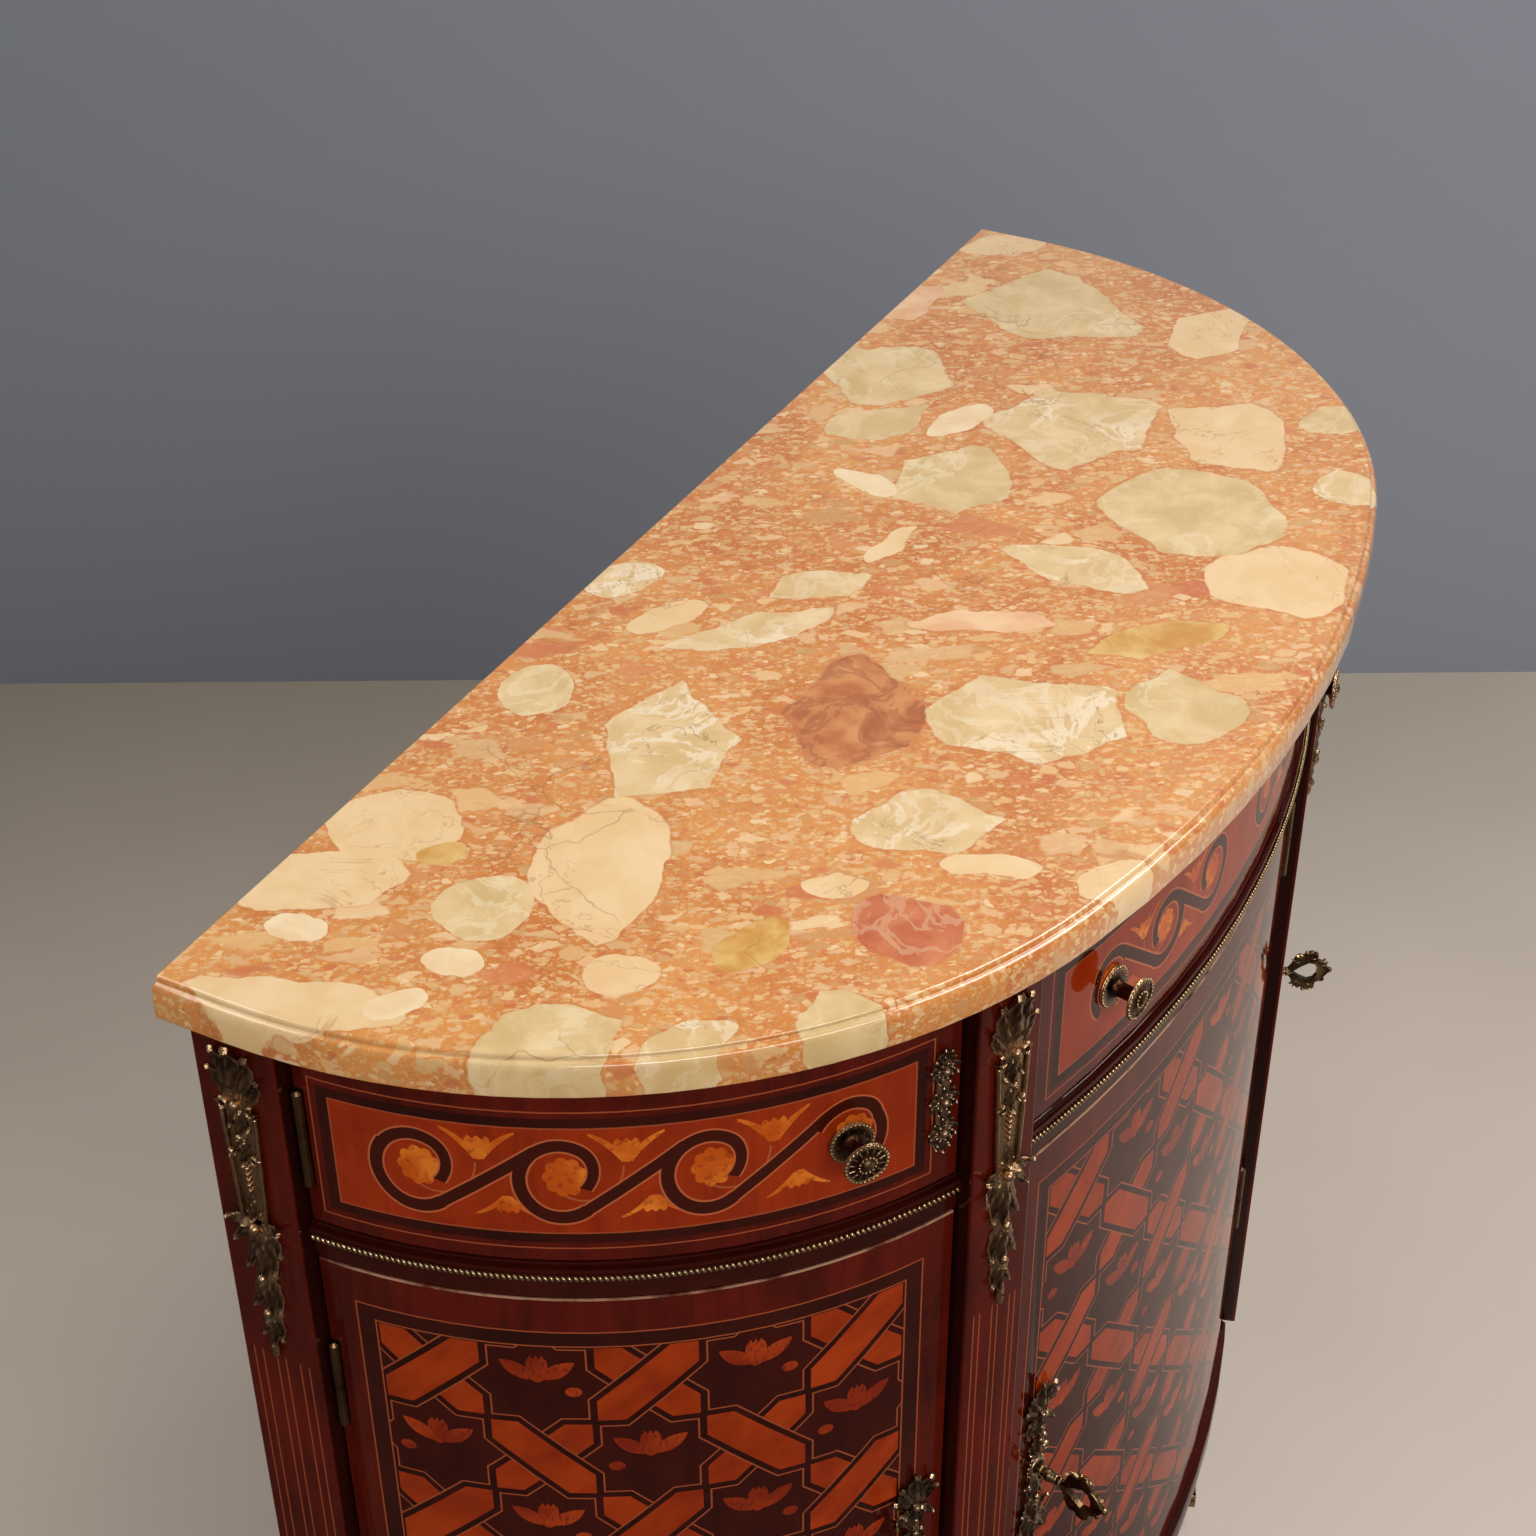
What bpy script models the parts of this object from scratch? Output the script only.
"""A demilune sideboard: marble top, three curved doors with locks and keys, a drawer
and two hinged leaves in the frieze, four legs with bronze shoes.

The origin is on the floor under the middle of the top. +X is right and -Y is the front.
Angles in the plan are those of the curve's normal, from straight ahead, positive to the right.
"""
import bpy
import bmesh
from math import asin, atan2, ceil, copysign, cos, pi, radians, sin
from mathutils import Matrix, Vector

# Overall sizes
WIDTH = 0.910
DEPTH = 0.383
HEIGHT = 0.944
SEAT_GAP = 0.0003
RUNNING_GAP = 0.0015
OVERCUT = 0.002

# Plan of the top: a straight end, a side arc, a flatter front arc that stands out by its rise
STRAIGHT_END = 0.0356
FRONT_RISE = 0.0174
FACET_ANGLE = radians(3.3)

# Marble top
MARBLE_THICKNESS = 0.022
MARBLE_ARRIS = 0.0012
MARBLE_STEP = 0.0030
MARBLE_OVOLO = 0.0070
MARBLE_UNDERCUT = 0.0015

# Carcass boards
TOP_BOARD_THICKNESS = 0.0177
MID_BOARD_THICKNESS = 0.0230
FRIEZE_OPENING = 0.1085
BASE_HEIGHT = 0.214
BASE_BOARD_THICKNESS = 0.0262
BASE_MOULDING_OUT = 0.0044
BASE_FILLET = 0.0035
PARTITION_THICKNESS = 0.016
SHELF_THICKNESS = 0.014
SHELF_HEIGHT_SHARE = 0.47
BACK_PANEL_THICKNESS = 0.010
BACK_OVERHANG = 0.0038

# Stiles, which run down as the legs
STILE_INSET = 0.0158
STILE_DEPTH = 0.048
FRONT_STILE_WIDTH = 0.040
BACK_STILE_WIDTH = 0.045
CENTRE_BAY_WIDTH = 0.452
STILE_FOOT_HEIGHT = 0.238
LEG_TOP_WIDTH = 0.030
LEG_FOOT_WIDTH = 0.024
LEG_CURVE_POWER = 2.0

# Bronze shoes
SHOE_TIP_WIDTH = 0.0135
SHOE_NECK_WIDTH = 0.0152
SHOE_COLLAR_WIDTH = 0.0268
SHOE_GROOVE = 0.0010
SHOE_NECK_HEIGHT = 0.022
SHOE_COLLAR_HEIGHT = 0.011

# Doors, leaves and drawer front
FRONT_SETBACK = 0.0108
DOOR_THICKNESS = 0.020
LEAF_THICKNESS = 0.016
DRAWER_FRONT_THICKNESS = 0.018
DOOR_SWING_RADIUS = 0.0030
BARREL_PROUD = 0.0010
BARREL_LENGTH = 0.060
BARREL_TIP = 0.0016
UPPER_BARREL_FALL = 0.087
LOWER_BARREL_RISE = 0.125

# Bronze bead moulding under the frieze
BEAD_HEIGHT = 0.0072
BEAD_OUT = 0.0041
BEAD_DROP = 0.0020
BEAD_FILLET = 0.0022

# Drawer box
DRAWER_LENGTH = 0.235
DRAWER_SIDE_THICKNESS = 0.009
DRAWER_BOTTOM_THICKNESS = 0.006
DRAWER_SIDE_DROP = 0.016

# Locks, bolts and keys
LOCK_HEIGHT = 0.521
SIDE_LOCK_FROM_EDGE = 0.0194
CENTRE_LOCK_FROM_EDGE = 0.0344
SHANK_RADIUS = 0.0026
KEY_LENGTH_OUT = 0.047
KEY_LENGTH_IN = 0.0145
KEY_BIT_REACH = 0.0072
KEY_BIT_LENGTH = 0.0060
KEY_BIT_THICKNESS = 0.0018
KEY_CLEARANCE = 0.0006
BOW_HEIGHT = 0.034
BOW_LENGTH = 0.0290
BOW_THICKNESS = 0.0034
BOW_EYE_LENGTH = 0.0165
BOW_EYE_HEIGHT = 0.0150
BOW_TIP_RADIUS = 0.0022
BOLT_HEIGHT = 0.010
BOLT_THICKNESS = 0.0045
BOLT_LENGTH = 0.017
BOLT_THROW = 0.008
LOCK_WALL = 0.0045
MORTISE_SPARE = 0.002

# Door and frieze escutcheons
PLATE_WIDTH = 0.030
PLATE_HEIGHT = 0.140
PLATE_THICKNESS = 0.0022
SMALL_PLATE_WIDTH = 0.019
SMALL_PLATE_HEIGHT = 0.0655
SMALL_PLATE_THICKNESS = 0.0018
SMALL_PLATE_FROM_STILE = 0.0130

# Knobs
KNOB_RADIUS = 0.012
KNOB_STEM_RADIUS = 0.0045
KNOB_LENGTH = 0.0165
KNOB_PLATE_THICKNESS = 0.0028
KNOB_CAP_THICKNESS = 0.0062
KNOB_HEIGHT_SHARE = 0.465
LEAF_KNOB_FROM_EDGE = 0.0618
DRAWER_KNOB_FROM_EDGE = 0.0715

# Bronze leaf mounts on the stiles
MOUNT_WIDTH = 0.026
MOUNT_DEPTH = 0.0085
MOUNT_TOP_GAP = 0.016
MOUNT_LENGTH = 0.205

# Outlines as shares: height down the mount, half width, how far it stands out
MOUNT_ROW_SHARES = [
    (0.000, 0.16, 0.30), (0.018, 0.46, 0.75), (0.045, 0.66, 1.00), (0.085, 0.86, 0.86),
    (0.125, 0.62, 0.62), (0.165, 1.00, 0.80), (0.215, 0.84, 0.74), (0.255, 0.58, 0.52),
    (0.300, 0.50, 0.44), (0.420, 0.44, 0.40), (0.500, 0.46, 0.42), (0.530, 0.98, 0.62),
    (0.560, 0.94, 0.70), (0.590, 0.52, 0.50), (0.640, 0.66, 0.60), (0.710, 0.92, 0.62),
    (0.755, 0.60, 0.46), (0.785, 0.34, 0.38), (0.830, 0.78, 0.56), (0.890, 1.00, 0.58),
    (0.935, 0.56, 0.42), (0.975, 0.40, 0.30), (1.000, 0.14, 0.16),
]
MOUNT_COLUMN_SHARES = [
    (-1.0, 0.12), (-0.60, 0.80), (-0.18, 0.82), (0.0, 1.0), (0.18, 0.82), (0.60, 0.80), (1.0, 0.12),
]
# Half outlines as shares of the full width and height, from the top down
PLATE_HALF_SHARES = [
    (0.05, 0.500), (0.15, 0.455), (0.12, 0.405), (0.34, 0.385), (0.48, 0.325), (0.36, 0.270),
    (0.30, 0.190), (0.42, 0.110), (0.40, 0.000), (0.42, -0.100), (0.28, -0.180), (0.40, -0.245),
    (0.50, -0.310), (0.34, -0.370), (0.14, -0.400), (0.20, -0.445), (0.06, -0.500),
]
SMALL_PLATE_HALF_SHARES = [
    (0.10, 0.500), (0.34, 0.455), (0.40, 0.375), (0.26, 0.300), (0.20, 0.235), (0.44, 0.160),
    (0.50, 0.060), (0.46, -0.040), (0.22, -0.130), (0.20, -0.220), (0.36, -0.300),
    (0.38, -0.400), (0.26, -0.470), (0.08, -0.500),
]
# Half outline of the bow: share of its length from the shank, share of its half height
BOW_HALF_SHARES = [
    (0.00, 0.15), (0.08, 0.34), (0.16, 0.72), (0.26, 0.88), (0.36, 0.80), (0.46, 0.98),
    (0.58, 1.00), (0.67, 0.82), (0.70, 0.58), (0.80, 0.50), (0.88, 0.34), (0.96, 0.16), (1.00, 0.06),
]
BOW_EYE_SHARES = [(0.0, 0.12), (0.30, 0.62), (0.62, 1.0), (0.86, 0.86), (1.0, 0.40)]
BOW_EDGE_SHARES = [(-1.0, 0.97, 0.96), (-0.4, 1.0, 1.0), (0.4, 1.0, 1.0), (1.0, 0.97, 0.96)]
# Height and radius of the ball at the bow's tip, as shares of its radius
TIP_SHARES = [(-1.0, 0.3), (-0.6, 0.8), (0.0, 1.0), (0.6, 0.8), (1.0, 0.3)]

# Values worked out from the sizes above
BACK_Y = DEPTH / 2
SIDE_RADIUS = DEPTH - STRAIGHT_END - FRONT_RISE
SIDE_CENTRE_X = WIDTH / 2 - SIDE_RADIUS
SIDE_CENTRE_Y = BACK_Y - STRAIGHT_END
JOINT_ANGLE = 2 * atan2(FRONT_RISE, SIDE_CENTRE_X)
FRONT_RADIUS = SIDE_RADIUS + SIDE_CENTRE_X / sin(JOINT_ANGLE)
FRONT_CENTRE_Y = FRONT_RADIUS - BACK_Y
QUARTER = pi / 2

MARBLE_Z = HEIGHT - MARBLE_THICKNESS
CARCASS_TOP = MARBLE_Z - SEAT_GAP
TOP_BOARD_Z = CARCASS_TOP - TOP_BOARD_THICKNESS
MID_TOP = TOP_BOARD_Z - FRIEZE_OPENING
MID_Z = MID_TOP - MID_BOARD_THICKNESS
BASE_TOP = BASE_HEIGHT + BASE_BOARD_THICKNESS
SHELF_Z = BASE_TOP + (MID_Z - BASE_TOP) * SHELF_HEIGHT_SHARE
FRONT_INSET = STILE_INSET + FRONT_SETBACK
CARCASS_BACK = BACK_Y - BACK_OVERHANG
PANEL_FRONT = CARCASS_BACK - BACK_PANEL_THICKNESS
STILE_BACK_INSET = STILE_INSET + STILE_DEPTH
BACK_STILE_LEAD = BACK_OVERHANG + BACK_STILE_WIDTH - STRAIGHT_END
BACK_STILE_ANGLE = QUARTER - asin(BACK_STILE_LEAD / (SIDE_RADIUS - STILE_INSET))
LEG_SETBACK = STILE_DEPTH / 2
SIDES = [("left", -1), ("right", 1)]


def material(name, colour, roughness, metallic):
    """Return a Principled material of one colour."""
    made = bpy.data.materials.new(name)
    made.use_nodes = True
    shader = made.node_tree.nodes["Principled BSDF"]
    shader.inputs["Base Color"].default_value = (*colour, 1.0)
    shader.inputs["Roughness"].default_value = roughness
    shader.inputs["Metallic"].default_value = metallic
    return made


# The plan curve

def plan_point(angle, inset):
    """A point on the plan curve where its normal has this angle, set in from the slab's edge."""
    if abs(angle) <= JOINT_ANGLE:
        radius = FRONT_RADIUS - inset
        return (radius * sin(angle), FRONT_CENTRE_Y - radius * cos(angle))
    radius = SIDE_RADIUS - inset
    side = 1 if angle > 0 else -1
    return (side * SIDE_CENTRE_X + radius * sin(angle), SIDE_CENTRE_Y - radius * cos(angle))


def curve(start, end, inset):
    """Points along the plan curve from one normal angle to another."""
    count = max(1, ceil(abs(end - start) / FACET_ANGLE))
    return [plan_point(start + (end - start) * i / count, inset) for i in range(count + 1)]


def band(start, end, outer, inner):
    """The plan of a curved board between two angles and two insets."""
    return curve(start, end, outer) + curve(end, start, inner)


def stepped(angle, length, inset):
    """The angle reached by going a length along the curve at this inset, to the right if positive."""
    front = FRONT_RADIUS - inset
    side = SIDE_RADIUS - inset
    joint = JOINT_ANGLE * front
    reach = min(abs(angle), JOINT_ANGLE) * front + max(abs(angle) - JOINT_ANGLE, 0) * side
    end = copysign(reach, angle) + length
    if abs(end) <= joint:
        return end / front
    return copysign(JOINT_ANGLE + (abs(end) - joint) / side, end)


def angle_at(x, inset):
    """The angle of the curve's normal where the curve at this inset has one x."""
    if abs(x) <= plan_point(JOINT_ANGLE, inset)[0]:
        return asin(x / (FRONT_RADIUS - inset))
    return copysign(asin((abs(x) - SIDE_CENTRE_X) / (SIDE_RADIUS - inset)), x)


def front_y(x, inset):
    """Where the curve at this inset stands at one x."""
    return plan_point(angle_at(x, inset), inset)[1]


CENTRE_BAY_ANGLE = angle_at(CENTRE_BAY_WIDTH / 2, STILE_INSET)
FRONT_STILE_MIDDLE = stepped(CENTRE_BAY_ANGLE, FRONT_STILE_WIDTH / 2, STILE_INSET)
FRONT_STILE_OUTER = stepped(CENTRE_BAY_ANGLE, FRONT_STILE_WIDTH, STILE_INSET)


def normal_frame(angle, inset, z):
    """A frame on the curve: X along it to the right, Y up, Z out along the normal."""
    x, y = plan_point(angle, inset)
    along = Vector((cos(angle), sin(angle), 0))
    out = Vector((sin(angle), -cos(angle), 0))
    rotation = Matrix((along, Vector((0, 0, 1)), out)).transposed().to_4x4()
    return Matrix.Translation((x, y, z)) @ rotation


# Mesh builders

def signed_area(points):
    """Twice the area of a plan outline, positive when it runs anticlockwise."""
    pairs = zip(points, points[1:] + points[:1])
    return sum(a[0] * b[1] - b[0] * a[1] for a, b in pairs)


def new_object(name, mesh_data, finish):
    """Make a mesh object from a bmesh and give it its material."""
    mesh = bpy.data.meshes.new(name)
    mesh_data.to_mesh(mesh)
    mesh_data.free()
    made = bpy.data.objects.new(name, mesh)
    bpy.context.collection.objects.link(made)
    mesh.materials.append(finish)
    return made


def stacked(name, levels, finish, smooth=0.0):
    """Join outlines of equal point count, each at its height, into one closed body."""
    if signed_area(levels[0][1]) < 0:
        levels = [(z, points[::-1]) for z, points in levels]
    built = bmesh.new()
    rings = [[built.verts.new((x, y, z)) for x, y in points] for z, points in levels]
    built.faces.new(rings[0][::-1])
    for low, high in zip(rings, rings[1:]):
        for i in range(len(low)):
            j = (i + 1) % len(low)
            built.faces.new((low[i], low[j], high[j], high[i]))
    built.faces.new(rings[-1])
    made = new_object(name, built, finish)
    if smooth:
        made.data.shade_smooth()
        made.data.set_sharp_from_angle(angle=smooth)
    return made


def prism(name, points, low, high, finish, smooth=radians(12)):
    """A board of one plan outline between two heights."""
    return stacked(name, [(low, points), (high, points)], finish, smooth)


def circle(radius, count):
    """A round outline."""
    return [(radius * cos(2 * pi * i / count), radius * sin(2 * pi * i / count)) for i in range(count)]


def turned(name, profile, count, finish):
    """A turned piece about its own Z, from a list of heights and radii."""
    return stacked(name, [(z, circle(radius, count)) for z, radius in profile], finish, radians(35))


def mirrored_outline(half_shares, width, height):
    """A closed outline from its right half, given from the top down."""
    right = [(across * width, up * height) for across, up in half_shares]
    left = [(-x, y) for x, y in reversed(right)]
    return right + left


def scaled(points, factor_x, factor_y):
    """An outline drawn in towards its middle."""
    return [(x * factor_x, y * factor_y) for x, y in points]


def place(made, frame):
    """Put an object modelled about its own origin at a frame."""
    made.matrix_world = frame
    return made


def move_origin(made, point):
    """Move an object's origin to a point, its shape staying where it is."""
    made.data.transform(Matrix.Translation(-Vector(point)))
    made.location = point


def combine(made, tool, operation):
    """Cut or join with another object, which is a guide and not a piece."""
    step = made.modifiers.new(operation.lower(), "BOOLEAN")
    step.operation = operation
    step.object = tool
    tool.hide_render = True
    tool.display_type = "WIRE"
    tool.name = "guide_" + tool.name


def hang(pivot, pieces):
    """Parent pieces to the empty on their joint's axis, keeping their places."""
    bpy.context.view_layer.update()
    for piece in pieces:
        piece.parent = pivot
        piece.matrix_parent_inverse = pivot.matrix_world.inverted()


def pivot_empty(name, point):
    """An empty on a joint's axis."""
    made = bpy.data.objects.new(name, None)
    bpy.context.collection.objects.link(made)
    made.location = point
    return made


# The carcass

def slab_outline(inset):
    """The plan of the marble top, drawn in by an inset but flush at the back."""
    arcs = curve(-QUARTER, -JOINT_ANGLE, inset)[:-1]
    arcs += curve(-JOINT_ANGLE, JOINT_ANGLE, inset)
    arcs += curve(JOINT_ANGLE, QUARTER, inset)[1:]
    end = WIDTH / 2 - inset
    return [(-end, BACK_Y)] + arcs + [(end, BACK_Y)]


def make_marble(finish):
    """The slab with a flat top, a small step, an ovolo and a fascia that leans in."""
    levels = [(MARBLE_Z, slab_outline(MARBLE_UNDERCUT)), (MARBLE_Z + MARBLE_ARRIS, slab_outline(0))]
    ovolo_z = HEIGHT - MARBLE_STEP - MARBLE_OVOLO
    for i in range(4):
        turn = QUARTER * i / 3
        inset = MARBLE_STEP * (1 - cos(turn))
        levels.append((ovolo_z + MARBLE_OVOLO * sin(turn), slab_outline(inset)))
    step_inset = MARBLE_STEP + MARBLE_ARRIS
    levels.append((HEIGHT - MARBLE_STEP, slab_outline(step_inset)))
    levels.append((HEIGHT - MARBLE_ARRIS, slab_outline(step_inset)))
    levels.append((HEIGHT, slab_outline(step_inset + MARBLE_ARRIS)))
    return stacked("marble_top", levels, finish, radians(25))


def board_half(inset):
    """The right half of a board's plan: its front edge, notched around the two stiles."""
    behind = STILE_BACK_INSET + SEAT_GAP
    inner_notch = stepped(CENTRE_BAY_ANGLE, -SEAT_GAP, STILE_BACK_INSET)
    outer_notch = stepped(FRONT_STILE_OUTER, SEAT_GAP, STILE_BACK_INSET)
    back_notch = stepped(BACK_STILE_ANGLE, -SEAT_GAP, STILE_BACK_INSET)
    points = curve(0, inner_notch, inset)
    points += curve(inner_notch, outer_notch, behind)
    points += curve(outer_notch, back_notch, inset)
    points += curve(back_notch, QUARTER, behind)
    points.append((WIDTH / 2 - behind, PANEL_FRONT - SEAT_GAP))
    return points


def board_outline(inset):
    """The whole plan of a board."""
    right = board_half(inset)
    left = [(-x, y) for x, y in reversed(right[1:])]
    return left + right


def make_boards(finish):
    """The board under the marble, the one under the frieze and the moulded base board."""
    flat = board_outline(FRONT_INSET)
    moulding = board_outline(FRONT_INSET - BASE_MOULDING_OUT)
    base_levels = [
        (BASE_HEIGHT, board_outline(FRONT_INSET - BASE_MOULDING_OUT + BASE_FILLET)),
        (BASE_HEIGHT + BASE_FILLET, moulding),
        (BASE_TOP - BASE_FILLET, moulding),
        (BASE_TOP, flat),
    ]
    return [
        prism("top_board", flat, TOP_BOARD_Z, CARCASS_TOP, finish),
        prism("mid_board", flat, MID_Z, MID_TOP, finish),
        stacked("base_board", base_levels, finish, radians(20)),
    ]


def make_back_panel(finish):
    """The plain back, let in between the back stiles."""
    reach = WIDTH / 2 - STILE_BACK_INSET - SEAT_GAP
    points = [(-reach, PANEL_FRONT), (reach, PANEL_FRONT), (reach, CARCASS_BACK), (-reach, CARCASS_BACK)]
    return prism("back_panel", points, BASE_HEIGHT, CARCASS_TOP, finish)


def partition_outline(side):
    """An upright between a front stile and the back panel."""
    inner = plan_point(CENTRE_BAY_ANGLE, STILE_BACK_INSET)[0]
    outer = inner + PARTITION_THICKNESS
    behind = STILE_BACK_INSET + 2 * SEAT_GAP
    back = PANEL_FRONT - SEAT_GAP
    points = [(inner, front_y(inner, behind)), (outer, front_y(outer, behind)), (outer, back), (inner, back)]
    return [(side * x, y) for x, y in points]


def make_partitions(finish):
    """The uprights beside the centre cupboard and beside the drawer."""
    for name, side in SIDES:
        points = partition_outline(side)
        prism("partition_lower_" + name, points, BASE_TOP + SEAT_GAP, MID_Z - SEAT_GAP, finish)
        prism("partition_upper_" + name, points, MID_TOP + SEAT_GAP, TOP_BOARD_Z - SEAT_GAP, finish)


def make_shelves(finish):
    """A shelf in each cupboard, cut to the curve behind the doors."""
    low = SHELF_Z
    high = SHELF_Z + SHELF_THICKNESS
    edge = STILE_BACK_INSET + 2 * SEAT_GAP
    back = PANEL_FRONT - SEAT_GAP
    inner = plan_point(CENTRE_BAY_ANGLE, STILE_BACK_INSET)[0] - SEAT_GAP
    start = angle_at(inner, edge)
    centre = curve(-start, start, edge) + [(inner, back), (-inner, back)]
    prism("shelf_centre", centre, low, high, finish)
    outer = inner + PARTITION_THICKNESS + 2 * SEAT_GAP
    half = curve(angle_at(outer, edge), QUARTER, edge) + [(WIDTH / 2 - edge, back), (outer, back)]
    for name, side in SIDES:
        prism("shelf_" + name, [(side * x, y) for x, y in half], low, high, finish)


# Stiles, legs and shoes

def stile_outline(back, outer_inset):
    """The plan of a stile on the right, with the same point count front and back."""
    if not back:
        return band(CENTRE_BAY_ANGLE, FRONT_STILE_OUTER, outer_inset, STILE_BACK_INSET)
    outer = [plan_point(BACK_STILE_ANGLE, outer_inset), plan_point(QUARTER, outer_inset)]
    inner = [plan_point(QUARTER, STILE_BACK_INSET), plan_point(BACK_STILE_ANGLE, STILE_BACK_INSET)]
    outer_x = WIDTH / 2 - outer_inset
    inner_x = WIDTH / 2 - STILE_BACK_INSET
    return outer + [(outer_x, CARCASS_BACK), (inner_x, CARCASS_BACK)] + inner


def leg_frame(back):
    """The leg's middle in plan, its outward direction and its direction along the curve."""
    if back:
        middle = (WIDTH / 2 - STILE_INSET - LEG_SETBACK, CARCASS_BACK - BACK_STILE_WIDTH / 2)
        return middle, (1, 0), (0, 1)
    angle = FRONT_STILE_MIDDLE
    middle = plan_point(angle, STILE_INSET + LEG_SETBACK)
    return middle, (sin(angle), -cos(angle)), (cos(angle), sin(angle))


def square_section(back, width, count):
    """A square across the leg, its points matched to a stile's outline."""
    middle, out, along = leg_frame(back)
    half = width / 2
    edge = [(-half + width * i / (count - 1), half) for i in range(count)]
    local = edge + [(-a, -b) for a, b in edge]
    return [(middle[0] + a * along[0] + b * out[0], middle[1] + a * along[1] + b * out[1]) for a, b in local]


def leg_width(z):
    """The leg's width, which draws in quickly below the top and then runs nearly straight."""
    rise = (z - SHOE_NECK_HEIGHT) / (BASE_HEIGHT - SHOE_NECK_HEIGHT)
    return LEG_FOOT_WIDTH + (LEG_TOP_WIDTH - LEG_FOOT_WIDTH) * rise ** LEG_CURVE_POWER


def mirror_levels(levels, side):
    """Levels on the right taken to the wanted side."""
    return [(z, [(side * x, y) for x, y in points]) for z, points in levels]


def make_stile(place_name, back, side, finish):
    """One stile from the marble down, and the leg below it, in one piece of wood."""
    face = stile_outline(back, STILE_INSET)
    block = stile_outline(back, FRONT_INSET)
    count = len(face) // 2
    foot = SHOE_NECK_HEIGHT + SEAT_GAP
    levels = []
    for i in range(7):
        z = foot + (BASE_HEIGHT - foot) * i / 6
        levels.append((z, square_section(back, leg_width(z), count)))
    levels += [(BASE_HEIGHT, block), (STILE_FOOT_HEIGHT, block)]
    levels += [(STILE_FOOT_HEIGHT, face), (CARCASS_TOP, face)]
    return stacked("stile_" + place_name, mirror_levels(levels, side), finish, radians(20))


def make_shoe(place_name, back, side, finish):
    """The bronze shoe: a narrow foot under a grooved collar that holds the leg's end."""
    neck = SHOE_NECK_HEIGHT
    rim = neck + SHOE_COLLAR_HEIGHT
    under = neck - SHOE_COLLAR_HEIGHT * 0.2
    waist = SHOE_COLLAR_WIDTH - SHOE_GROOVE
    socket = 2 * SEAT_GAP
    steps = [
        (0, SHOE_TIP_WIDTH), (under, SHOE_NECK_WIDTH), (under, SHOE_COLLAR_WIDTH),
        (neck + SHOE_COLLAR_HEIGHT * 0.30, SHOE_COLLAR_WIDTH), (neck + SHOE_COLLAR_HEIGHT * 0.42, waist),
        (neck + SHOE_COLLAR_HEIGHT * 0.56, waist), (neck + SHOE_COLLAR_HEIGHT * 0.68, SHOE_COLLAR_WIDTH),
        (rim, SHOE_COLLAR_WIDTH), (rim, leg_width(rim) + socket), (neck, leg_width(neck) + socket),
    ]
    levels = [(z, square_section(back, width, 2)) for z, width in steps]
    return stacked("shoe_" + place_name, mirror_levels(levels, side), finish)


def make_mount(place_name, back, side, finish):
    """A carved bronze leaf drop on a stile's face: rows down the leaf, columns across it."""
    frame = normal_frame(side * FRONT_STILE_MIDDLE, STILE_INSET, CARCASS_TOP - MOUNT_TOP_GAP)
    if back:
        middle = leg_frame(True)[0]
        frame = normal_frame(side * QUARTER, STILE_INSET, CARCASS_TOP - MOUNT_TOP_GAP)
        frame.translation = (side * (WIDTH / 2 - STILE_INSET), middle[1], CARCASS_TOP - MOUNT_TOP_GAP)
    built = bmesh.new()
    rows = []
    for fall, spread, depth in MOUNT_ROW_SHARES:
        row = []
        for across, swell in MOUNT_COLUMN_SHARES:
            x = across * spread * MOUNT_WIDTH / 2
            row.append(built.verts.new((x, -fall * MOUNT_LENGTH, SEAT_GAP + depth * swell * MOUNT_DEPTH)))
        for across in (1, -1):
            x = across * spread * MOUNT_WIDTH / 2
            row.append(built.verts.new((x, -fall * MOUNT_LENGTH, SEAT_GAP)))
        rows.append(row)
    count = len(rows[0])
    for upper, lower in zip(rows, rows[1:]):
        for i in range(count):
            j = (i + 1) % count
            built.faces.new((upper[i], lower[i], lower[j], upper[j]))
    built.faces.new(rows[0])
    built.faces.new(rows[-1][::-1])
    made = new_object("mount_" + place_name, built, finish)
    made.data.shade_smooth()
    made.data.set_sharp_from_angle(angle=radians(50))
    return place(made, frame)


def make_bead(bay, finish):
    """The bronze moulding across one bay, with a fillet over a rounded band."""
    low_angle, high_angle = bay_span(bay)
    start = stepped(low_angle, SEAT_GAP, FRONT_INSET)
    end = stepped(high_angle, -SEAT_GAP, FRONT_INSET)
    high = MID_TOP - BEAD_DROP
    low = high - BEAD_HEIGHT
    wall = FRONT_INSET - SEAT_GAP
    band_top = high - BEAD_FILLET
    middle = (low + band_top) / 2
    steps = [
        (low, BEAD_OUT * 0.35), (middle, BEAD_OUT), (band_top, BEAD_OUT * 0.55),
        (band_top + BEAD_FILLET * 0.2, BEAD_OUT * 0.8), (high, BEAD_OUT * 0.7),
    ]
    levels = [(z, band(start, end, FRONT_INSET - out, wall)) for z, out in steps]
    return stacked("bead_" + bay, levels, finish, radians(40))


# Hinges

def hinge_point(angle, towards):
    """A hinge's axis in the gap beside a stile, just proud of the door's face."""
    inset = FRONT_INSET - BARREL_PROUD
    return plan_point(stepped(angle, towards * (DOOR_SWING_RADIUS + SEAT_GAP), inset), inset)


def barrel_spans(low, high):
    """The heights of a door's two barrels."""
    upper = high - UPPER_BARREL_FALL
    lower = low + LOWER_BARREL_RISE
    half = BARREL_LENGTH / 2
    return [("upper", upper - half, upper + half), ("lower", lower - half, lower + half)]


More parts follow.
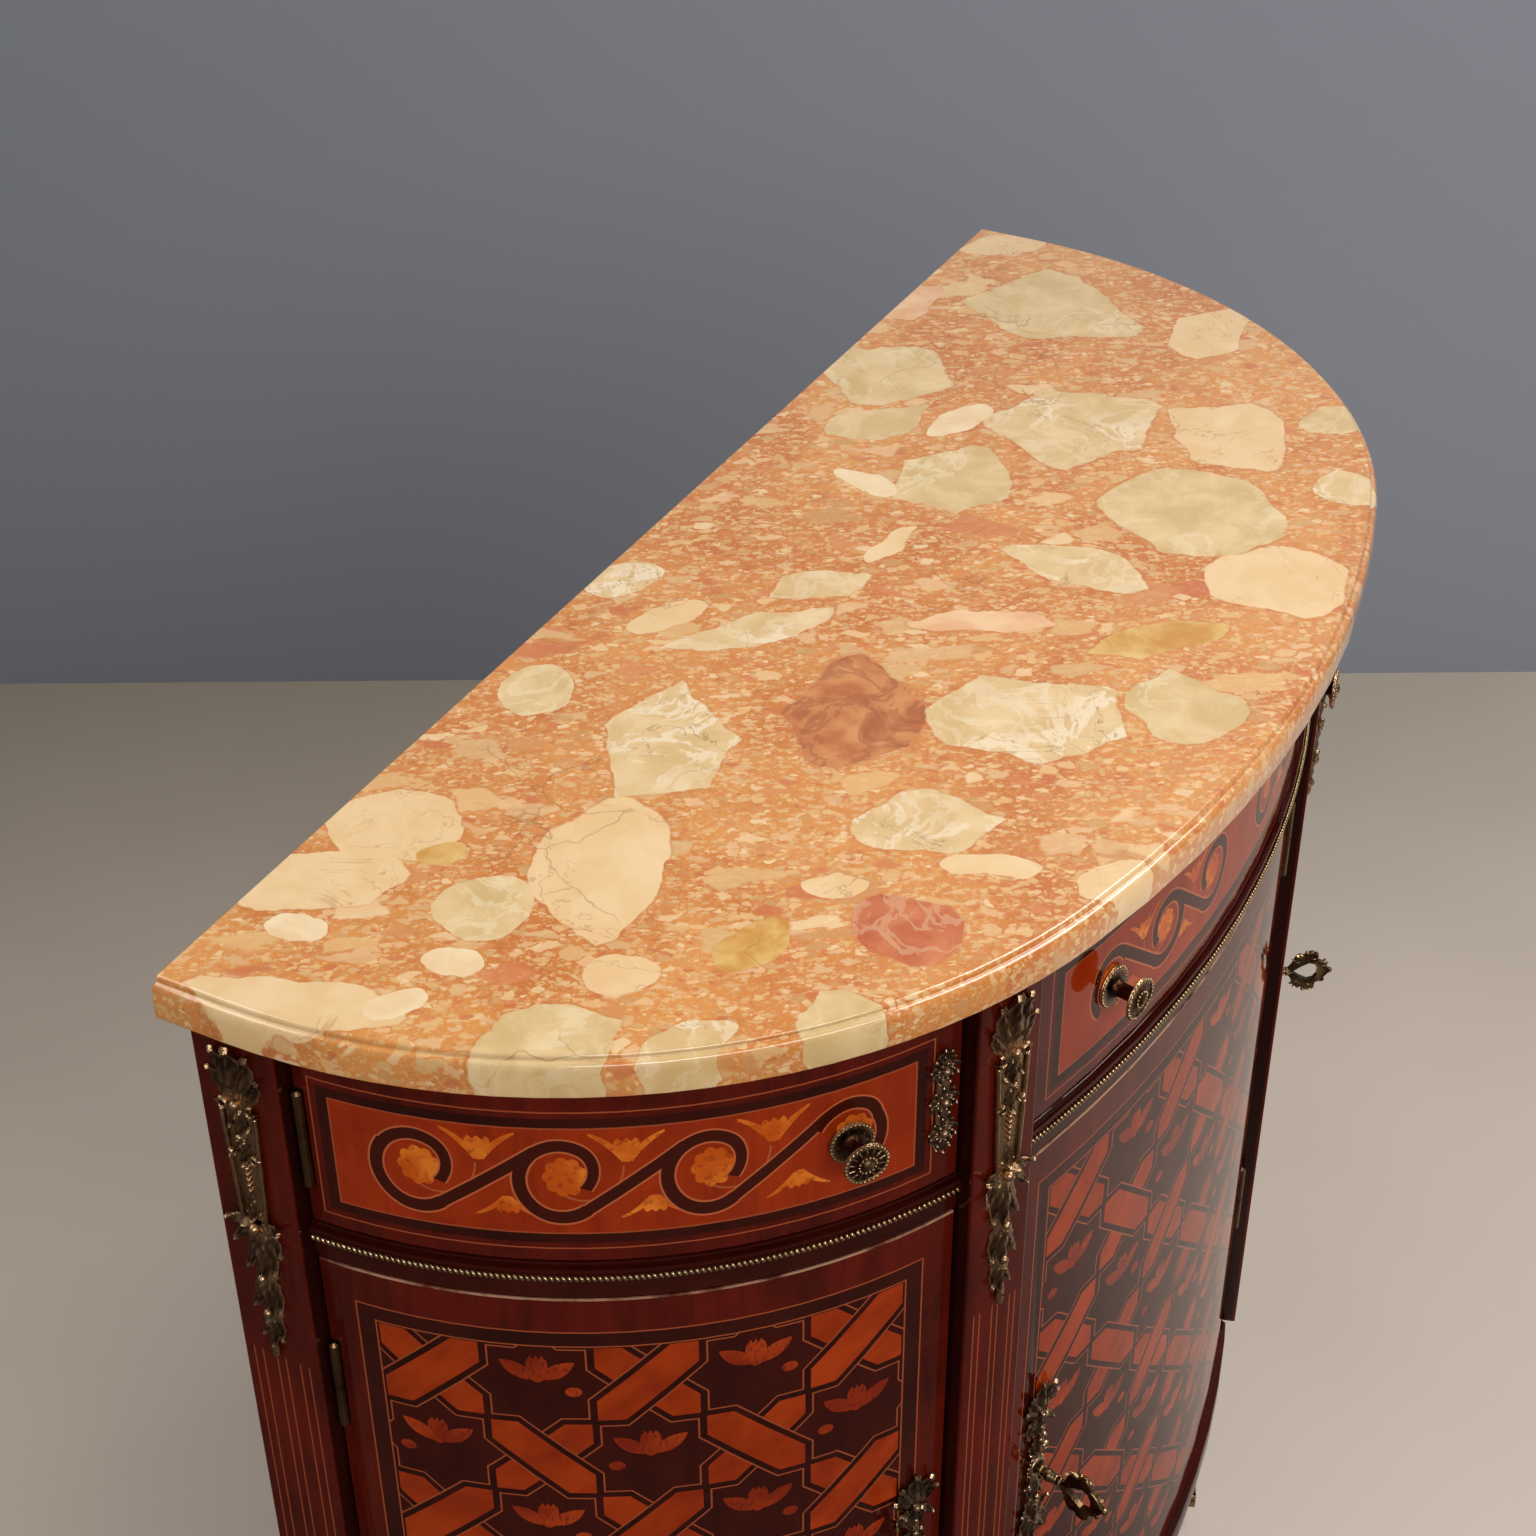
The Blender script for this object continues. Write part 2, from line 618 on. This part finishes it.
def make_barrel(name, point, low, high, finish):
    """A hinge barrel with rounded tips and its two knuckle joints."""
    middle = (low + high) / 2
    radius = DOOR_SWING_RADIUS
    neck = radius - SEAT_GAP
    profile = [
        (low, radius * 0.5), (low + BARREL_TIP, radius), (middle - BARREL_TIP / 2, radius),
        (middle, neck), (middle + BARREL_TIP / 2, radius), (high - BARREL_TIP, radius), (high, radius * 0.5),
    ]
    shifted = [(z - low, r) for z, r in profile]
    made = turned(name, shifted, 12, finish)
    made.location = (point[0], point[1], low)
    return made


def cut_barrel_room(board, point, low, high):
    """Hollow the board's edge round a barrel, so that it swings about it."""
    radius = DOOR_SWING_RADIUS + SEAT_GAP
    profile = [(low - SEAT_GAP, radius), (high + SEAT_GAP, radius)]
    tool = turned(board.name + "_barrel_room", profile, 16, None)
    tool.location = (point[0], point[1], 0)
    combine(board, tool, "DIFFERENCE")


# Locks, keys and bolts

def lock_frame(angle):
    """The key's frame on a door: Z out along the shank, Y up."""
    return normal_frame(angle, FRONT_INSET, LOCK_HEIGHT)


def lock_depths():
    """How far behind the door's face the lock's chamber starts and ends."""
    return LOCK_WALL, DOOR_THICKNESS - LOCK_WALL


def key_bow(name, finish):
    """The pierced, scrolled bow, modelled flat and stood up along the shank."""
    start = KEY_LENGTH_OUT - BOW_LENGTH - BOW_TIP_RADIUS
    right = [(start + along * BOW_LENGTH, up * BOW_HEIGHT / 2) for along, up in BOW_HALF_SHARES]
    outline = right + [(x, -y) for x, y in reversed(right)]
    middle = start + BOW_LENGTH / 2
    levels = []
    for rise, slim_x, slim_y in BOW_EDGE_SHARES:
        ring = [(middle + (x - middle) * slim_x, y * slim_y) for x, y in outline]
        levels.append((BOW_THICKNESS / 2 * rise, ring))
    bow = stacked(name, levels, finish)
    eye_start = start + BOW_LENGTH * 0.14
    upper = [(eye_start + along * BOW_EYE_LENGTH, up * BOW_EYE_HEIGHT / 2) for along, up in BOW_EYE_SHARES]
    eye = upper + [(x, -y) for x, y in reversed(upper)]
    tool = prism(name + "_eye", eye, -BOW_THICKNESS, BOW_THICKNESS, None, 0.0)
    return bow, tool


def make_key(name, angle, finish):
    """A key: shank with its rings, a pierced bow outside and a bit inside the lock."""
    start = KEY_LENGTH_OUT - BOW_LENGTH - BOW_TIP_RADIUS
    ring = SHANK_RADIUS * 1.45
    profile = [
        (-KEY_LENGTH_IN, SHANK_RADIUS * 0.85), (-KEY_LENGTH_IN * 0.9, SHANK_RADIUS),
        (start * 0.55, SHANK_RADIUS), (start * 0.62, ring), (start * 0.74, ring),
        (start * 0.80, SHANK_RADIUS), (start * 1.05, SHANK_RADIUS), (start * 1.25, SHANK_RADIUS * 0.7),
    ]
    shank = turned(name, profile, 12, finish)
    bow, eye = key_bow(name + "_bow", finish)
    stand = Matrix(((0, 0, 1, 0), (0, 1, 0, 0), (-1, 0, 0, 0), (0, 0, 0, 1))).inverted()
    tip_profile = [(rise * BOW_TIP_RADIUS, wide * BOW_TIP_RADIUS) for rise, wide in TIP_SHARES]
    tip = turned(name + "_tip", tip_profile, 10, finish)
    half = KEY_BIT_THICKNESS / 2
    inner = KEY_LENGTH_IN * 0.95
    bit_plan = [(-half, -KEY_BIT_REACH), (half, -KEY_BIT_REACH), (half, 0), (-half, 0)]
    bit = prism(name + "_bit", bit_plan, -inner, KEY_BIT_LENGTH - inner, finish, 0.0)
    frame = lock_frame(angle)
    place(shank, frame)
    place(bow, frame @ stand)
    place(eye, frame @ stand)
    place(tip, frame @ Matrix.Translation((0, 0, KEY_LENGTH_OUT - BOW_TIP_RADIUS)))
    place(bit, frame)
    combine(bow, eye, "DIFFERENCE")
    combine(shank, bow, "UNION")
    combine(shank, tip, "UNION")
    combine(shank, bit, "UNION")
    return shank


def keyhole_outline(gap):
    """A round hole for the shank with a slot below it for the bit."""
    radius = SHANK_RADIUS + gap
    half = KEY_BIT_THICKNESS / 2 + gap
    opening = asin(half / radius)
    count = 10
    start = -QUARTER + opening
    sweep = 2 * pi - 2 * opening
    arc = []
    for i in range(count + 1):
        turn = start + sweep * i / count
        arc.append((radius * cos(turn), radius * sin(turn)))
    low = -KEY_BIT_REACH - gap
    return arc + [(-half, low), (half, low)]


def cut_lock(door, angle, edge_angle):
    """Cut the keyhole, the round chamber for the bit and the slot for the bolt into a door."""
    frame = lock_frame(angle)
    front, back = lock_depths()
    hole = prism(door.name + "_keyhole", keyhole_outline(KEY_CLEARANCE), -front - OVERCUT, OVERCUT, None, 0.0)
    chamber_radius = KEY_BIT_REACH + 2 * KEY_CLEARANCE
    chamber = turned(door.name + "_chamber", [(-back, chamber_radius), (-front, chamber_radius)], 20, None)
    place(hole, frame)
    place(chamber, frame)
    slot_length = BOLT_LENGTH + BOLT_THROW
    slot = bolt_block(door.name + "_slot", edge_angle, slot_length, OVERCUT, SEAT_GAP, angle)
    for tool in (chamber, slot, hole):
        combine(door, tool, "DIFFERENCE")


def bolt_frame(edge_angle, key_angle):
    """The bolt's frame at the door's free edge: X out of the edge towards the stile."""
    inset = FRONT_INSET + DOOR_THICKNESS / 2
    z = LOCK_HEIGHT + KEY_BIT_REACH + KEY_CLEARANCE + BOLT_HEIGHT / 2
    frame = normal_frame(edge_angle, inset, z)
    towards = 1 if edge_angle > key_angle else -1
    return frame, towards


def bolt_block(name, edge_angle, length, over, gap, key_angle, finish=None):
    """A straight block running in from the door's edge, the bolt itself or room for it."""
    frame, towards = bolt_frame(edge_angle, key_angle)
    half_t = BOLT_THICKNESS / 2 + gap
    half_h = BOLT_HEIGHT / 2 + gap
    ends = sorted((-towards * length, towards * over))
    plan = [(ends[0], -half_h), (ends[1], -half_h), (ends[1], half_h), (ends[0], half_h)]
    made = prism(name, plan, -half_t, half_t, finish, 0.0)
    return place(made, frame)


def cut_mortise(stile, edge_angle, key_angle):
    """Cut the pocket in a stile that takes the thrown bolt."""
    depth = RUNNING_GAP + BOLT_THROW + MORTISE_SPARE
    tool = bolt_block(stile.name + "_mortise", edge_angle, 0, depth, 2 * SEAT_GAP, key_angle)
    combine(stile, tool, "DIFFERENCE")


# Doors and leaves

def bay_span(bay):
    """The angles between which a bay lies, from stile to stile, left to right."""
    if bay == "centre":
        return -CENTRE_BAY_ANGLE, CENTRE_BAY_ANGLE
    if bay == "left":
        return -BACK_STILE_ANGLE, -FRONT_STILE_OUTER
    return FRONT_STILE_OUTER, BACK_STILE_ANGLE


def bay_edges(bay):
    """The angles of a bay's hinge edge and free edge, already clear of the stiles."""
    low_angle, high_angle = bay_span(bay)
    low_edge = stepped(low_angle, RUNNING_GAP, FRONT_INSET)
    high_edge = stepped(high_angle, -RUNNING_GAP, FRONT_INSET)
    return (low_edge, high_edge) if bay == "left" else (high_edge, low_edge)


def bay_hinge(bay):
    """The hinge axis of a bay in plan."""
    if bay == "centre":
        return hinge_point(CENTRE_BAY_ANGLE, -1)
    side = -1 if bay == "left" else 1
    return hinge_point(side * BACK_STILE_ANGLE, -side)


def key_angle_of(bay):
    """Where the key stands on a door, in from its free edge."""
    free_edge = bay_edges(bay)[1]
    if bay == "centre":
        return stepped(free_edge, CENTRE_LOCK_FROM_EDGE, FRONT_INSET)
    side = -1 if bay == "left" else 1
    return stepped(free_edge, side * SIDE_LOCK_FROM_EDGE, FRONT_INSET)


def plate(name, half_shares, width, height, thickness, finish):
    """A bronze escutcheon with a raised middle, in its own XY with Z out."""
    outline = mirrored_outline(half_shares, width, height)
    levels = [
        (SEAT_GAP, outline), (SEAT_GAP + thickness * 0.45, outline),
        (SEAT_GAP + thickness * 0.80, scaled(outline, 0.82, 0.96)),
        (SEAT_GAP + thickness, scaled(outline, 0.5, 0.86)),
    ]
    return stacked(name, levels, finish)


def make_door(bay, wood, bronze, brass, steel):
    """A curved door with its escutcheon, barrels, lock bolt and key."""
    hinge_edge, free_edge = bay_edges(bay)
    key_angle = key_angle_of(bay)
    low = BASE_TOP + RUNNING_GAP
    high = MID_Z - RUNNING_GAP
    outline = band(hinge_edge, free_edge, FRONT_INSET, FRONT_INSET + DOOR_THICKNESS)
    door = prism("door_" + bay, outline, low, high, wood)
    point = bay_hinge(bay)
    for level, start, end in barrel_spans(low, high):
        make_barrel("hinge_" + bay + "_" + level, point, start, end, brass)
        cut_barrel_room(door, point, start, end)
    cut_lock(door, key_angle, free_edge)
    frame = lock_frame(key_angle)
    escutcheon = plate(
        "escutcheon_" + bay, PLATE_HALF_SHARES, PLATE_WIDTH, PLATE_HEIGHT, PLATE_THICKNESS, bronze,
    )
    place(escutcheon, frame)
    hole_top = PLATE_THICKNESS + OVERCUT
    hole = prism("escutcheon_hole_" + bay, keyhole_outline(KEY_CLEARANCE), -OVERCUT, hole_top, None, 0)
    place(hole, frame)
    combine(escutcheon, hole, "DIFFERENCE")
    key = make_key("key_" + bay, key_angle, steel)
    bolt = bolt_block("bolt_" + bay, free_edge, BOLT_LENGTH, -SEAT_GAP, 0, key_angle, brass)
    pivot = pivot_empty("axis_door_" + bay, (point[0], point[1], low))
    move_origin(door, (point[0], point[1], low))
    hang(pivot, [door, escutcheon, key, bolt])
    return door


def make_knob(name, angle, z, finish):
    """A bronze knob: a beaded back plate, a short stem and a dished cap."""
    cap = KNOB_LENGTH - KNOB_CAP_THICKNESS
    plate_edge = KNOB_PLATE_THICKNESS
    profile = [
        (SEAT_GAP, KNOB_RADIUS * 0.93), (plate_edge * 0.5, KNOB_RADIUS), (plate_edge, KNOB_RADIUS * 0.9),
        (plate_edge * 1.1, KNOB_STEM_RADIUS * 1.3), (plate_edge * 1.6, KNOB_STEM_RADIUS),
        (cap - plate_edge * 0.5, KNOB_STEM_RADIUS), (cap, KNOB_RADIUS * 0.85),
        (cap + KNOB_CAP_THICKNESS * 0.3, KNOB_RADIUS), (cap + KNOB_CAP_THICKNESS * 0.62, KNOB_RADIUS * 0.88),
        (KNOB_LENGTH, KNOB_RADIUS * 0.35),
    ]
    made = turned(name, profile, 20, finish)
    return place(made, normal_frame(angle, FRONT_INSET, z))


def frieze_span():
    """The low and high edges of the leaves and the drawer front."""
    return MID_TOP + RUNNING_GAP, TOP_BOARD_Z - RUNNING_GAP / 2


def make_leaf(bay, wood, bronze, brass):
    """A hinged leaf of the frieze with its knob, escutcheon and barrel."""
    side = -1 if bay == "left" else 1
    hinge_edge, free_edge = bay_edges(bay)
    low, high = frieze_span()
    outline = band(hinge_edge, free_edge, FRONT_INSET, FRONT_INSET + LEAF_THICKNESS)
    leaf = prism("frieze_leaf_" + bay, outline, low, high, wood)
    point = bay_hinge(bay)
    middle = (low + high) / 2
    start = middle - BARREL_LENGTH / 2
    end = middle + BARREL_LENGTH / 2
    make_barrel("hinge_frieze_" + bay, point, start, end, brass)
    cut_barrel_room(leaf, point, start, end)
    knob_z = low + (high - low) * KNOB_HEIGHT_SHARE
    knob_angle = stepped(free_edge, side * LEAF_KNOB_FROM_EDGE, FRONT_INSET)
    knob = make_knob("knob_frieze_" + bay, knob_angle, knob_z, bronze)
    small_angle = stepped(side * FRONT_STILE_OUTER, side * SMALL_PLATE_FROM_STILE, FRONT_INSET)
    small = plate(
        "escutcheon_frieze_" + bay, SMALL_PLATE_HALF_SHARES,
        SMALL_PLATE_WIDTH, SMALL_PLATE_HEIGHT, SMALL_PLATE_THICKNESS, bronze,
    )
    place(small, normal_frame(small_angle, FRONT_INSET, middle))
    pivot = pivot_empty("axis_frieze_" + bay, (point[0], point[1], low))
    move_origin(leaf, (point[0], point[1], low))
    hang(pivot, [leaf, knob, small])


# The drawer

def make_drawer(wood, inner_wood, bronze):
    """The bowed drawer front, its two knobs and the box behind it."""
    low, high = frieze_span()
    hinge_edge, free_edge = bay_edges("centre")
    behind = FRONT_INSET + DRAWER_FRONT_THICKNESS
    front = prism("drawer_front", band(hinge_edge, free_edge, FRONT_INSET, behind), low, high, wood)
    seat = behind + 2 * SEAT_GAP
    outer = plan_point(CENTRE_BAY_ANGLE, STILE_BACK_INSET)[0] - RUNNING_GAP
    inner = outer - DRAWER_SIDE_THICKNESS
    back = FRONT_CENTRE_Y - FRONT_RADIUS + behind + DRAWER_LENGTH
    box_low = MID_TOP + SEAT_GAP
    box_high = high - DRAWER_SIDE_DROP
    pieces = [front]
    for name, side in SIDES:
        plan = [(inner, front_y(inner, seat)), (outer, front_y(outer, seat)), (outer, back), (inner, back)]
        points = [(side * x, y) for x, y in plan]
        pieces.append(prism("drawer_side_" + name, points, box_low, box_high, inner_wood))
    fit = inner - SEAT_GAP
    rear = back - DRAWER_SIDE_THICKNESS
    points = [(-fit, rear), (fit, rear), (fit, back), (-fit, back)]
    pieces.append(prism("drawer_back", points, box_low, box_high, inner_wood))
    limit = angle_at(fit, seat)
    floor = curve(-limit, limit, seat) + [(fit, rear - SEAT_GAP), (-fit, rear - SEAT_GAP)]
    bottom_low = low + SEAT_GAP
    pieces.append(prism("drawer_bottom", floor, bottom_low, bottom_low + DRAWER_BOTTOM_THICKNESS, inner_wood))
    knob_z = low + (high - low) * KNOB_HEIGHT_SHARE
    for name, side in SIDES:
        angle = stepped(side * hinge_edge, -side * DRAWER_KNOB_FROM_EDGE, FRONT_INSET)
        pieces.append(make_knob("knob_drawer_" + name, angle, knob_z, bronze))
    pivot = pivot_empty("slide_drawer", (0, front_y(0, FRONT_INSET), low))
    hang(pivot, pieces)


def main():
    """Build the whole sideboard."""
    for old in list(bpy.data.objects):
        bpy.data.objects.remove(old, do_unlink=True)
    mahogany = material("mahogany", (0.16, 0.030, 0.012), 0.18, 0.0)
    marquetry = material("marquetry", (0.45, 0.085, 0.022), 0.18, 0.0)
    marble = material("marble", (0.62, 0.40, 0.27), 0.22, 0.0)
    bronze = material("bronze", (0.34, 0.25, 0.12), 0.38, 1.0)
    brass = material("brass", (0.45, 0.33, 0.16), 0.35, 1.0)
    steel = material("key_bronze", (0.24, 0.19, 0.11), 0.42, 1.0)
    oak = material("oak", (0.33, 0.21, 0.11), 0.55, 0.0)
    make_marble(marble)
    make_boards(mahogany)
    make_back_panel(oak)
    make_partitions(oak)
    make_shelves(oak)
    stiles = {}
    for row, back in (("front", False), ("back", True)):
        for name, side in SIDES:
            label = row + "_" + name
            stiles[label] = make_stile(label, back, side, mahogany)
            make_shoe(label, back, side, bronze)
            make_mount(label, back, side, bronze)
    for bay in ("left", "centre", "right"):
        make_bead(bay, bronze)
        make_door(bay, marquetry, bronze, brass, steel)
        holder = "front_right" if bay == "right" else "front_left"
        cut_mortise(stiles[holder], bay_edges(bay)[1], key_angle_of(bay))
    for bay in ("left", "right"):
        make_leaf(bay, marquetry, bronze, brass)
    make_drawer(marquetry, oak, bronze)


main()
